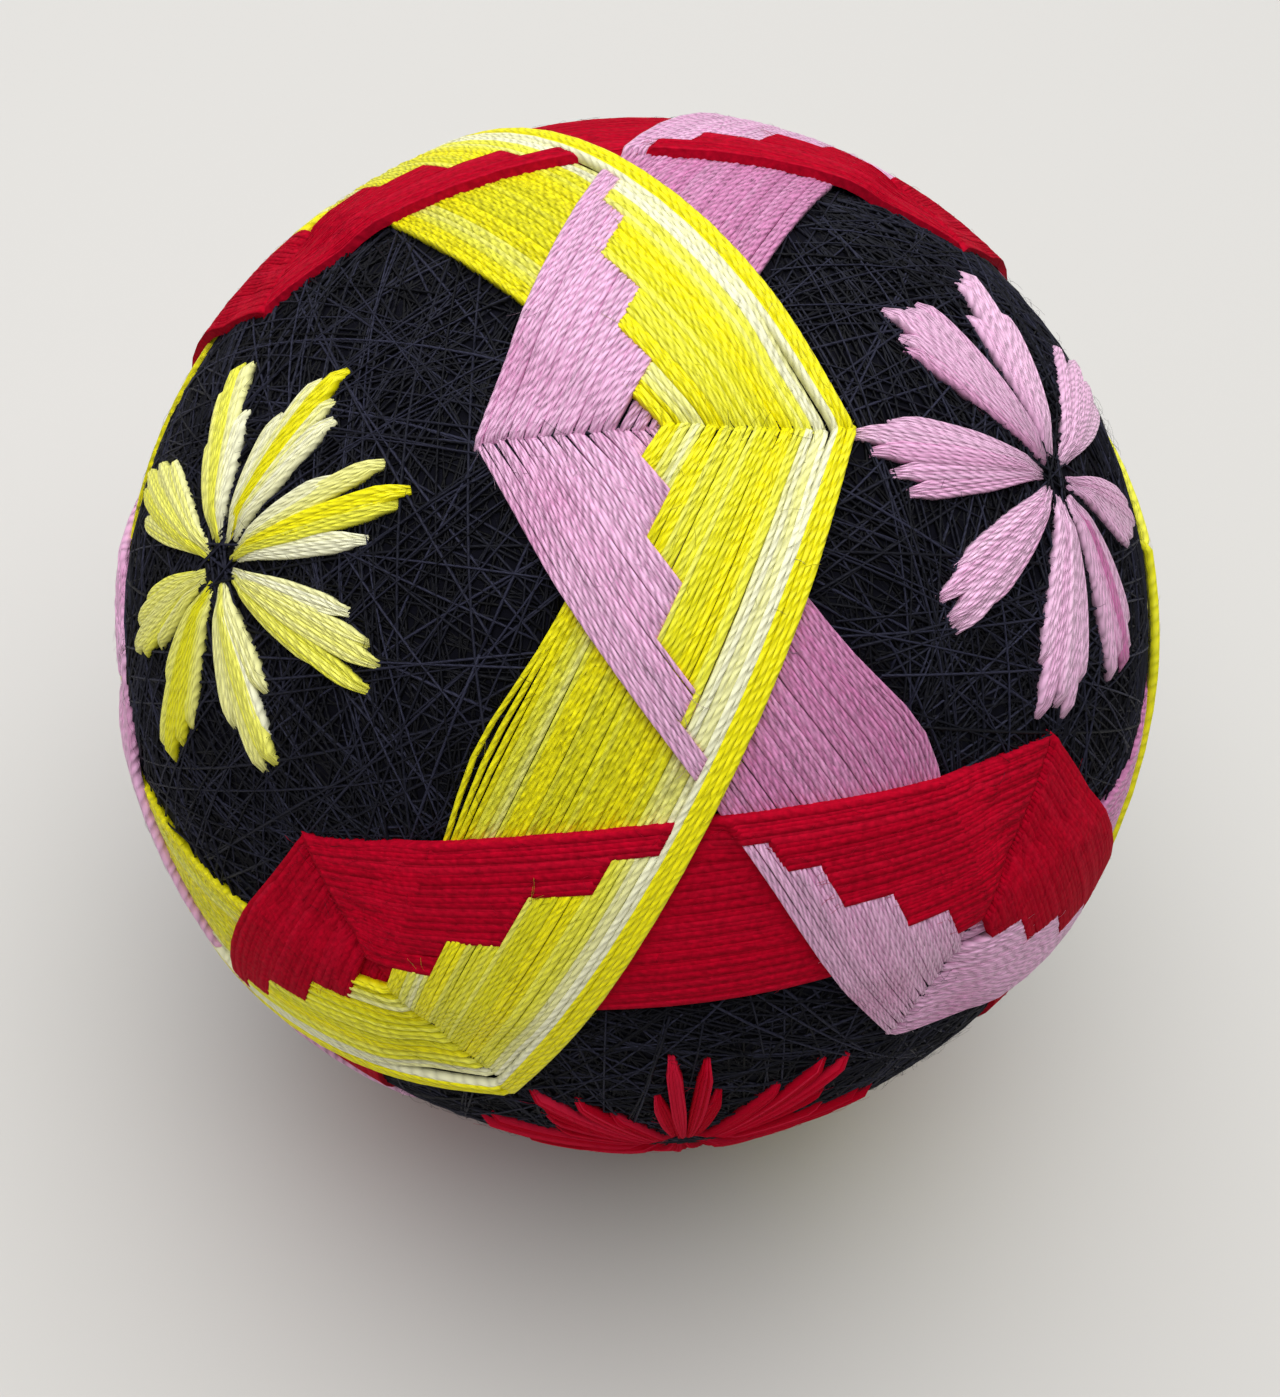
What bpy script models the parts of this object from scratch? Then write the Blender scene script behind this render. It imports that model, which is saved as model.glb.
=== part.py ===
"""Temari ball: a thread-wound ball with six interlaced stitched squares and six stitched flowers.

The ball's own axes point at its six face centres: +X and -X carry the pink squares, +Y and -Y the yellow
ones, +Z and -Z the red ones. In one octant of the ball a direction is held as three shares, one for each of
its three faces, that add up to one. A row of a square is then the line where its own face's share is
constant, which is a great circle, and each square fills the shares between a half and a third.

The squares are stitched in rounds, in turn, so a round lies over the rounds stitched before it and under
those stitched after it. That is what makes the stepped edges where two colours cross.
"""

import math

import bmesh
import bpy
from mathutils import Euler, Matrix, Vector

MM = 0.001

BALL_RADIUS = 43.3 * MM
BALL_SUBDIVISIONS = 4
GAP = 0.3 * MM
THREAD_THICKNESS = 0.5 * MM
LAYER_RISE = THREAD_THICKNESS + GAP
OUTER_RADIUS = BALL_RADIUS + 2 * LAYER_RISE
FLAT_SPOT_DEPTH = 0.35 * MM
BALL_CENTRE = Vector((0, 0, OUTER_RADIUS - FLAT_SPOT_DEPTH))
BALL_TURN = Euler([math.radians(angle) for angle in (117.26, -46.64, -5.83)], "XYZ")

# Each round's inner and outer corner, as degrees from the square's own face centre
ROUND_EDGES_DEG = (45.0, 49.2, 53.8, 58.4, 61.4, 63.43)
ROUNDS = len(ROUND_EDGES_DEG) - 1
SEAM_HALF_DEG = 0.42
RIM_INSET_DEG = 0.55
# The other face's share where a round climbs onto the other square, and where it is up
CLIMB_SHARES = (0.513, 0.501)
LONGEST_STEP = 0.08
SHARP_EDGE_DEG = 35

# Threads with colour and roughness
THREADS = {
    "pink": {"colour": (0.73, 0.31, 0.56), "roughness": 0.45},
    "red": {"colour": (0.42, 0.003, 0.03), "roughness": 0.7},
    "yellow": {"colour": (0.86, 0.75, 0.03), "roughness": 0.45},
}
WINDING = {"colour": (0.008, 0.008, 0.016), "roughness": 0.8}
# The squares in the order in which they are stitched in each round
STITCH_ORDER = ("red_back", "pink_front", "pink_back", "red_front", "yellow_front", "yellow_back")

# Each face of the ball: name, axis, side of the ball on that axis
FACES = (
    ("pink_front", 0, 1),
    ("yellow_front", 1, 1),
    ("red_front", 2, 1),
    ("pink_back", 0, -1),
    ("yellow_back", 1, -1),
    ("red_back", 2, -1),
)

# Pins that the maker set a little off: the pin's direction, and its shift in mm
SHIFTED_PINS = (
    ((1, 1, 0), (0.1, -0.1, -0.4)),
    ((0, 1, 1), (-1.1, -0.1, 0.1)),
    ((1, 0, 1), (-0.2, 1.2, 0.1)),
    ((1, 1, 1), (0.6, -0.1, -0.5)),
    ((1, 1, -1), (-0.6, -0.2, -0.8)),
    ((-1, 0, 1), (0.1, -0.8, 0.1)),
    ((0, -1, -1), (0.9, 0.1, -0.1)),
)
PIN_REACH_DEG = 20

# A flower's centre off its face centre in mm, toward the next two axes
FLOWER_SHIFTS = {
    "pink_front": (0.9, 1.0),
    "yellow_front": (0.7, -1.5),
    "red_front": (0.3, 2.4),
    "pink_back": (-0.5, 0.6),
    "yellow_back": (0.8, 0.4),
    "red_back": (-0.6, -0.9),
}

# Each petal's direction about the flower's centre in degrees, from the next axis, and its length in mm
PETALS = {
    "pink": (
        (3, 18.3), (44, 17.4), (90, 17.3), (130, 16.8),
        (177, 14.5), (228, 18.3), (282, 17.3), (319, 18.3),
    ),
    "yellow": (
        (3, 15.6), (48, 17.4), (91, 18.0), (131, 17.2),
        (176, 16.7), (224, 18.4), (275, 15.0), (315, 17.0),
    ),
    "red": (
        (2, 18.3), (46, 18.5), (90, 17.0), (128, 16.5),
        (178, 17.0), (224, 17.4), (270, 16.8), (320, 16.0),
    ),
}
FLOWER_HUB_RADIUS = 2.0 * MM
# Along a petal: share of its length, half its width in degrees about the flower's centre
PETAL_STATIONS = ((0.30, 14.0), (0.64, 13.0), (0.86, 6.5))


def face_toward(axis, side):
    return next(face for face, its_axis, its_side in FACES if (its_axis, its_side) == (axis, side))


def face_direction(axis, side):
    direction = Vector((0, 0, 0))
    direction[axis] = side
    return direction


def with_pin_drift(direction):
    """The direction on the ball as the maker's shifted pins pull it."""
    unit = direction.normalized()
    moved = unit.copy()
    for pin, shift in SHIFTED_PINS:
        away = unit.angle(Vector(pin)) / math.radians(PIN_REACH_DEG)
        moved += math.exp(-away * away) * MM / BALL_RADIUS * Vector(shift)
    return moved.normalized()


def share_at(degrees):
    """The own-face share of a row whose corners lie this far from its face centre."""
    return 1 / (1 + math.tan(math.radians(degrees)))


def round_shares(number):
    """A round's own-face shares at its inner and its outer edge."""
    inner = ROUND_EDGES_DEG[number - 1] + SEAM_HALF_DEG
    last = number == ROUNDS
    outer = ROUND_EDGES_DEG[number] - (RIM_INSET_DEG if last else SEAM_HALF_DEG)
    return share_at(inner), share_at(outer)


def rounds_crossed_over(face, number, other_face):
    """How many rounds of the other square a round lies over, the first ones."""
    stitched_later = STITCH_ORDER.index(face) > STITCH_ORDER.index(other_face)
    return number if stitched_later else number - 1


def half_side_events(face, number, other_face):
    """Where a round changes layer between its corner toward another face and the side's middle.

    Each event is the other face's share there and the layer, 0 on the ball and 1 on the other square."""
    crossed = rounds_crossed_over(face, number, other_face)
    if crossed == 0:
        return [], 0, 0
    start = [(CLIMB_SHARES[0], 0), (CLIMB_SHARES[1], 1)] if number > 1 else []
    corner_layer = 0 if number > 1 else 1
    drop_from = round_shares(crossed)[1]
    if crossed == ROUNDS:
        return start + [(drop_from, 1)], corner_layer, 1
    drop_to = round_shares(crossed + 1)[0]
    return start + [(drop_from, 1), (drop_to, 0)], corner_layer, 0


def half_side_stations(face, number, other_face):
    """Sections of half a side: the other face's share at the inner and outer edge, and the layer."""
    shares = round_shares(number)
    events, layer, end_layer = half_side_events(face, number, other_face)
    stations = [([1 - share for share in shares], layer)]
    stops = [([share, share], level) for share, level in events]
    stops.append(([(1 - share) / 2 for share in shares], end_layer))
    for target, level in stops:
        begin, from_level = stations[-1]
        longest = max(b - t for b, t in zip(begin, target))
        steps = max(1, math.ceil(longest / LONGEST_STEP))
        for step in range(1, steps + 1):
            part = step / steps
            between = [b + (t - b) * part for b, t in zip(begin, target)]
            stations.append((between, from_level + (level - from_level) * part))
    return stations


def side_sections(face, number, own, toward, onward):
    """Sections of a whole side, from the corner toward one face to the corner toward the next.

    Toward and onward are pairs of a face's direction and its name. A section is the layer and the
    directions of its inner and outer edge."""
    shares = round_shares(number)
    sections = []
    first = half_side_stations(face, number, toward[1])
    second = half_side_stations(face, number, onward[1])
    middle_layer = (first[-1][1] + second[-1][1]) / 2
    for others, layer in first[:-1]:
        edges = [
            own * share + toward[0] * other + onward[0] * (1 - share - other)
            for share, other in zip(shares, others)
        ]
        sections.append((layer, edges))
    edges = [own * share + (toward[0] + onward[0]) * ((1 - share) / 2) for share in shares]
    sections.append((middle_layer, edges))
    for others, layer in reversed(second[1:-1]):
        edges = [
            own * share + onward[0] * other + toward[0] * (1 - share - other)
            for share, other in zip(shares, others)
        ]
        sections.append((layer, edges))
    return sections


def ring_mesh(face, axis, side, number):
    """One round of a square: a closed ring with a four-cornered section, lofted along its four sides."""
    own = face_direction(axis, side)
    neighbours = []
    for other_side in (1, -1):
        for other_axis in ((axis + 1) % 3, (axis + 2) % 3):
            other_face = face_toward(other_axis, other_side)
            neighbours.append((face_direction(other_axis, other_side), other_face))
    sections = []
    for toward, onward in zip(neighbours, neighbours[1:] + neighbours[:1]):
        sections += side_sections(face, number, own, toward, onward)
    shape = bmesh.new()
    loops = []
    for layer, (inner, outer) in sections:
        low = BALL_RADIUS + GAP + layer * LAYER_RISE
        high = low + THREAD_THICKNESS
        corners = ((inner, low), (outer, low), (outer, high), (inner, high))
        loops.append([shape.verts.new(with_pin_drift(edge) * radius) for edge, radius in corners])
    for near, far in zip(loops, loops[1:] + loops[:1]):
        for corner in range(4):
            following = (corner + 1) % 4
            shape.faces.new((near[corner], near[following], far[following], far[corner]))
    bmesh.ops.recalc_face_normals(shape, faces=shape.faces)
    return finished_mesh(shape, face)


def flower_mesh(name, axis, side):
    """A flower of eight petals that run out from a small hub, on the ball's curve."""
    next_axes = [face_direction((axis + turn) % 3, 1) for turn in (1, 2)]
    shift = sum((along * off for along, off in zip(next_axes, FLOWER_SHIFTS[name])), Vector())
    centre = (face_direction(axis, side) + shift * MM / BALL_RADIUS).normalized()
    first = (next_axes[0] - centre * next_axes[0].dot(centre)).normalized()
    second = centre.cross(first)
    petals = PETALS[name.split("_")[0]]
    shape = bmesh.new()

    def corner_pair(distance, degrees):
        """The low and the high point at a distance from the centre along the ball."""
        bend = distance / BALL_RADIUS
        turn = math.radians(degrees)
        across = first * math.cos(turn) + second * math.sin(turn)
        direction = centre * math.cos(bend) + across * math.sin(bend)
        low = BALL_RADIUS + GAP
        return [shape.verts.new(direction * radius) for radius in (low, low + THREAD_THICKNESS)]

    hub = corner_pair(0, 0)
    angles = [angle for angle, length in petals]
    next_angles = angles[1:] + [angles[0] + 360]
    valleys = [corner_pair(FLOWER_HUB_RADIUS, (a + b) / 2) for a, b in zip(angles, next_angles)]
    outline = []
    for index, (angle, length) in enumerate(petals):
        before, after = valleys[index - 1], valleys[index]
        right = [before] + [corner_pair(length * MM * share, angle - wide) for share, wide in PETAL_STATIONS]
        left = [after] + [corner_pair(length * MM * share, angle + wide) for share, wide in PETAL_STATIONS]
        tip = corner_pair(length * MM, angle)
        for level in (0, 1):
            shape.faces.new((hub[level], right[0][level], left[0][level]))
            for step in range(len(PETAL_STATIONS)):
                corners = (right[step], right[step + 1], left[step + 1], left[step])
                shape.faces.new([corner[level] for corner in corners])
            shape.faces.new((right[-1][level], tip[level], left[-1][level]))
        outline += right + [tip] + left[:0:-1]
    for near, far in zip(outline, outline[1:] + outline[:1]):
        shape.faces.new((near[0], far[0], far[1], near[1]))
    bmesh.ops.recalc_face_normals(shape, faces=shape.faces)
    return finished_mesh(shape, name)


def ball_mesh(name):
    shape = bmesh.new()
    bmesh.ops.create_icosphere(shape, subdivisions=BALL_SUBDIVISIONS, radius=BALL_RADIUS)
    return finished_mesh(shape, name)


def finished_mesh(shape, name):
    mesh = bpy.data.meshes.new(name)
    shape.to_mesh(mesh)
    shape.free()
    return mesh


def thread_material(name, values):
    material = bpy.data.materials.new(name)
    material.use_nodes = True
    shader = material.node_tree.nodes["Principled BSDF"]
    shader.inputs["Base Color"].default_value = (*values["colour"], 1)
    shader.inputs["Roughness"].default_value = values["roughness"]
    shader.inputs["Metallic"].default_value = 0
    return material


def add_piece(name, mesh, material, collection, centre):
    mesh.materials.append(material)
    mesh.shade_smooth()
    mesh.set_sharp_from_angle(angle=math.radians(SHARP_EDGE_DEG))
    piece = bpy.data.objects.new(name, mesh)
    piece.parent = centre
    collection.objects.link(piece)
    return piece


def table_cutter(collection):
    """A block below the table plane, which cuts the flat spot."""
    bpy.ops.mesh.primitive_cube_add(size=1, location=(0, 0, -0.5 * OUTER_RADIUS))
    cutter = bpy.context.object
    cutter.name = "below_table"
    cutter.data.transform(Matrix.Scale(OUTER_RADIUS, 4))
    for holder in cutter.users_collection:
        holder.objects.unlink(cutter)
    collection.objects.link(cutter)
    cutter.hide_render = True
    cutter.display_type = "WIRE"
    return cutter


def reaches_below_table(mesh):
    turn = BALL_TURN.to_matrix()
    return min((turn @ vertex.co + BALL_CENTRE).z for vertex in mesh.vertices) < 0


def build():
    for leftover in list(bpy.data.objects):
        bpy.data.objects.remove(leftover)
    model = bpy.data.collections.new("temari_ball")
    cutters = bpy.data.collections.new("cutters")
    for collection in (model, cutters):
        bpy.context.scene.collection.children.link(collection)

    centre = bpy.data.objects.new("ball_centre", None)
    centre.location = BALL_CENTRE
    centre.rotation_euler = BALL_TURN
    model.objects.link(centre)

    materials = {thread: thread_material(f"{thread}_thread", values) for thread, values in THREADS.items()}
    winding = thread_material("dark_winding", WINDING)
    cutter = table_cutter(cutters)

    add_piece("wound_ball", ball_mesh("wound_ball"), winding, model, centre)
    for face, axis, side in FACES:
        thread, place = face.split("_")
        flower = flower_mesh(face, axis, side)
        add_piece(f"{thread}_flower_{place}", flower, materials[thread], model, centre)
        for number in range(1, ROUNDS + 1):
            mesh = ring_mesh(face, axis, side, number)
            name = f"{thread}_square_{place}_round_{number}"
            ring = add_piece(name, mesh, materials[thread], model, centre)
            if reaches_below_table(mesh):
                flat_spot = ring.modifiers.new("flat spot", "BOOLEAN")
                flat_spot.operation = "DIFFERENCE"
                flat_spot.solver = "EXACT"
                flat_spot.object = cutter


build()
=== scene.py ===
"""Temari ball: the looks of its winding thread, its six stitched squares and its six flowers.

The ball's own axes point at its six face centres: X for the pink squares, Y for the yellow and Z for the red.
In an octant a direction is held as three shares, one for each of its faces, that add up to one. A row of
floss runs where its own face's share is constant. Lengths are in millimetres until a mesh is made.
"""

import math

import bpy
import numpy as np
from mathutils import Euler, Matrix, Vector


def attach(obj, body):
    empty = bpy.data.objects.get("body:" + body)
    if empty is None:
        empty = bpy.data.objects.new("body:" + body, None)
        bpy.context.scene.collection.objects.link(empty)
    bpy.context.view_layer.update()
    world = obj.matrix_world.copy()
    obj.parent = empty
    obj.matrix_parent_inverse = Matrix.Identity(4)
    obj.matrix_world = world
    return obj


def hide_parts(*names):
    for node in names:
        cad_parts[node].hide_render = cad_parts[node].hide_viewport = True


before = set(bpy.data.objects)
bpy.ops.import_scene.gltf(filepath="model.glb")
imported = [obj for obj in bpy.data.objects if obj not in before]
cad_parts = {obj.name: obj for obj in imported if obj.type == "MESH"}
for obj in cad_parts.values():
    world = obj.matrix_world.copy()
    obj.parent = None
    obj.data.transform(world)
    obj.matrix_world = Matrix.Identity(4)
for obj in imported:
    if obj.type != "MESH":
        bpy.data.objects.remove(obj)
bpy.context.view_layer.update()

MM = 0.001

# The ball as modelled
BALL_RADIUS = 43.3
LAYER_RISE = 0.7
FIRST_LAYER_TOP = 43.85
BALL_CENTRE = np.array((0, 0, 44.55))
BALL_TURN = np.array(Euler([math.radians(angle) for angle in (117.26, -46.64, -5.83)], "XYZ").to_matrix())

# Each round's inner and outer corner, as degrees from the square's face centre, and its strands of floss
ROUND_EDGES_DEG = {
    "pink": (45.0, 49.2, 53.8, 58.3, 60.7, 62.5),
    "red": (45.0, 49.2, 53.8, 58.4, 61.2, 63.2),
    "yellow": (45.0, 49.2, 53.8, 58.4, 61.4, 63.75),
}
STRANDS_IN_ROUND = (9, 10, 10, 6, 5)
STRANDS_IN_ROW = 3
# The squares in the order in which they are stitched in each round
STITCH_ORDER = ("red_back", "pink_front", "pink_back", "red_front", "yellow_front", "yellow_back")
FACES = (
    ("pink", "front", 0, 1),
    ("yellow", "front", 1, 1),
    ("red", "front", 2, 1),
    ("pink", "back", 0, -1),
    ("yellow", "back", 1, -1),
    ("red", "back", 2, -1),
)

# How far a corner's pin draws the rows inward, as a share of their distance from the square's inner edge
CORNER_DRAW = 0.05
CORNERS_DRAWN_OTHERWISE = {
    ("red", "front", 0): 0.0,
    ("red", "front", 1): 0.09,
    ("yellow", "back", 1): 0.14,
}
CORNER_DRAW_REACH = 12.0

# Pins that the maker set a little off: the pin's direction, and its shift
SHIFTED_PINS = (
    ((1, 1, 0), (0.1, -0.1, -0.4)),
    ((0, 1, 1), (-1.1, -0.1, 0.1)),
    ((1, 0, 1), (-0.2, 1.2, 0.1)),
    ((1, 1, 1), (0.6, -0.1, -0.5)),
    ((1, 1, -1), (-0.6, -0.2, -0.8)),
    ((-1, 0, 1), (0.1, -0.8, 0.1)),
    ((0, -1, -1), (0.9, 0.1, -0.1)),
)
PIN_REACH_DEG = 20
# Sides whose inner strands lie loose: where along the side, how far the innermost slips inward in degrees,
# and what is left of that from each strand to the next
LOOSE_SIDES = {
    ("yellow", "front", 0): (0.46, 1.6, 0.55),
    ("pink", "front", 0): (0.61, 2.5, 0.93),
}
# The share of a side over which the slip fades
LOOSE_REACH = 0.13
# Corners and one place on a side that lie a little aside, as the pins do but with a shorter reach
SHIFTED_CORNERS = (
    ((0.46, 0.89, 0), (0.0, 0.0, -1.1)),
    ((0.89, 0.45, 0), (0.0, 0.0, 0.5)),
    ((0.89, -0.45, 0), (0.0, -1.7, 0.0)),
    ((0.79, -0.47, 0.39), (0.0, -1.7, 0.0)),
    ((-0.46, 0.89, 0), (-1.7, 0.0, 0.0)),
)
CORNER_REACH_DEG = 11

# A flower's centre off its face centre, toward the next two axes
FLOWER_SHIFTS = {
    "pink_front": (0.9, 1.0),
    "yellow_front": (0.7, -1.5),
    "red_front": (0.3, 2.4),
    "pink_back": (-0.5, 0.6),
    "yellow_back": (0.8, 0.4),
    "red_back": (-0.6, -0.9),
}
# Each petal's direction about the flower's centre in degrees, from the next axis, and its length
PETALS = {
    "pink": (
        (3, 18.3), (44, 17.4), (90, 17.3), (130, 16.8),
        (177, 14.5), (228, 18.3), (282, 17.3), (319, 18.3),
    ),
    "yellow": (
        (3, 15.6), (48, 17.4), (91, 18.0), (131, 17.2),
        (176, 16.7), (224, 18.4), (275, 15.0), (315, 17.0),
    ),
    "red": (
        (2, 18.3), (46, 18.5), (90, 17.0), (128, 16.5),
        (178, 17.0), (224, 17.4), (270, 16.8), (320, 16.0),
    ),
}
# The stitches of a petal side by side: turn from the petal's middle in degrees, share of its length
PETAL_STITCHES = {
    "pink": ((-9.2, 0.86), (-4.6, 0.95), (0.0, 1.0), (4.6, 0.94), (9.2, 0.83)),
    "yellow": ((-10.2, 0.73), (-5.1, 0.89), (0.0, 1.0), (5.1, 0.87), (10.2, 0.7)),
    "red": ((-12.0, 0.62), (-6.0, 0.86), (0.0, 1.0), (6.0, 0.9), (12.0, 0.68)),
}
# Half a stitch's width in mm, and how much its strands differ in shade, which on red is partly painted
# highlight
STITCH_HALF_WIDTH = {"pink": 0.76, "yellow": 0.72, "red": 0.56}
STRAND_SHADE_CHANGE = {"pink": 0.04, "yellow": 0.03, "red": 0.28}
# Each petal's shades, stitch by stitch, in the order of the petals
PETAL_SHADES = {
    "pink": (
        (0.5, 0.55, 0.42, 0.5, 0.5), (0.55, 0.5, 0.58, 0.62, 0.5),
        (0.62, 0.55, 0.68, 0.5, 0.6), (0.6, 0.45, 0.08, 0.5, 0.6),
        (0.5, 0.58, 0.52, 0.45, 0.55), (0.62, 0.55, 0.6, 0.66, 0.58),
        (0.66, 0.6, 0.7, 0.6, 0.55), (0.5, 0.6, 0.64, 0.55, 0.4),
    ),
    "yellow": (
        (0.9, 0.8, 0.74, 0.92, 0.85), (0.7, 0.68, 0.72, 0.84, 0.9),
        (0.9, 0.6, 0.0, 0.85, 0.95), (0.95, 0.92, 0.0, 0.92, 0.85),
        (0.95, 0.9, 0.62, 0.82, 0.78), (0.88, 0.84, 0.7, 0.68, 0.66),
        (0.66, 0.7, 0.72, 0.66, 0.68), (0.7, 0.66, 0.4, 0.55, 0.68),
    ),
    # The red stitches' shades differ partly as painted highlights on the fuzz
    "red": ((0.5, 0.4, 0.6, 0.3, 0.5),) * 8,
}
# A stitch's strands, as places across its half width
STITCH_STRANDS = (-0.8, -0.4, 0.0, 0.4, 0.8)

# The variegated floss, from a square's middle outward: rows that a shade lasts, and its place on the ramp
YELLOW_SHADES = (
    (1.3, 0.05),
    (1.6, 0.78),
    (1.4, 0.05),
    (2.0, 0.55),
    (0.6, 0.6),
    (1.1, 0.42),
    (1.2, 0.0),
    (1.4, 0.62),
    (1.3, 0.97),
    (1.4, 0.04),
)

# A side whose shade runs on to that of the next rows outward: first and last of its rows, and that shade
WIDENING_SHADES = {("front", 0): (10.05, 10.65, 0.97)}

# A strand's section: across in half widths, then up in half widths from its top, or None at its foot
STRAND_SECTION = ((-1.1, None), (-0.9, -0.32), (0.0, 0.0), (0.9, -0.32), (1.1, None))
FUZZY_SECTION = ((-1.6, None), (-1.4, -0.08), (0.0, 0.0), (1.4, -0.08), (1.6, None))
# The faces of that section that form a strand's top; the others are its flanks
TOP_FACES = (1, 2)
# How far a strand's foot lies below its top
FLOSS_DEPTH = 0.75
# The squares' inner corner, as degrees from the face centre
INNERMOST_DEG = 45.0

# At a corner the arriving strands end over the ones that leave. A row's strands are drawn toward its middle
# there, by a share of their distance from it that fades over a reach in mm.
BUNCHING = {
    "pink": {"arriving": 0.26, "arriving_reach": 2.2, "leaving": 0.27, "leaving_reach": 3.0},
    "yellow": {"arriving": 0.2, "arriving_reach": 2.0, "leaving": 0.22, "leaving_reach": 5.0},
    "red": {"arriving": 0.06, "arriving_reach": 2.0, "leaving": 0.1, "leaving_reach": 4.0},
}
CORNERS_BUNCHED_OTHERWISE = {
    ("yellow", "front", 0): {"arriving": 0.42, "arriving_reach": 14.0, "leaving": 0.06, "leaving_reach": 2.0},
}
# How far a bunched row's outer strands lie below its middle one, and how unevenly the strands lie
ROW_ROUNDING = 0.45
STRAND_UNEVENNESS = {"pink": 0.035, "yellow": 0.035, "red": 0.012}
# Where a strand enters the ball at a corner: how deep it dips, and over what length
LEAVING_DIP = 0.24
LEAVING_DIP_REACH = 0.55
ARRIVING_DIP = 0.36
ARRIVING_DIP_REACH = 0.18
# The low hump just before an arriving strand dips
HUMP = 0.05
HUMP_FROM_CORNER = 0.9
HUMP_REACH = 0.6
# How far an arriving strand goes on past the corner, and how far back a leaving one begins
REACH_OVER = 0.38
OUTERMOST_REACH_OVER = 1.1
REACH_OVER_LENGTH = 0.5
LEAVING_START = 0.25
LEAVING_START_LENGTH = 0.4

# How far a strand lies off its place, in pitches: as a whole, and in its slow waves
STRAND_OFFSET = 0.06
STRAND_WAVE = 0.11
# A strand's half width in pitches, what bunching takes off it, and how it changes by strand and along it
STRAND_HALF_WIDTH = 0.58
BUNCHED_NARROWING = 0.6
WIDTH_CHANGE = 0.06
WIDTH_RIPPLE = 0.05
WIDTH_RIPPLE_RATE = 40
# How the outermost strand swells at the corner that it arrives at
SWELLING = 0.8
SWELLING_FROM_CORNER = 0.1
SWELLING_REACH = 0.8
# The step in shares to either side of a row that measures how far apart rows lie there
SPREAD_STEP = 0.004


def with_pin_drift(directions):
    """Unit directions on the ball, as the maker's shifted pins pull them."""
    unit = directions / np.linalg.norm(directions, axis=-1, keepdims=True)
    moved = unit.copy()
    for shifts, reach in ((SHIFTED_PINS, PIN_REACH_DEG), (SHIFTED_CORNERS, CORNER_REACH_DEG)):
        for pin, shift in shifts:
            pin = np.array(pin) / np.linalg.norm(pin)
            away = np.degrees(np.arccos(np.clip(unit @ pin, -1, 1))) / reach
            moved += np.exp(-away * away)[..., None] * np.array(shift) / BALL_RADIUS
    return moved / np.linalg.norm(moved, axis=-1, keepdims=True)


def share_at(degrees):
    """A square's own share along its row whose corner is that many degrees from its face centre."""
    return 1 / (1 + np.tan(np.radians(degrees)))


def smooth(value):
    """An even step from 0 to 1."""
    value = np.clip(value, 0, 1)
    return value * value * (3 - 2 * value)


def bell(run, reach, middle=0.0):
    """A smooth rise to 1 at the middle, which fades over the reach."""
    return np.exp(-((run - middle) / reach) ** 2)


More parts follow.
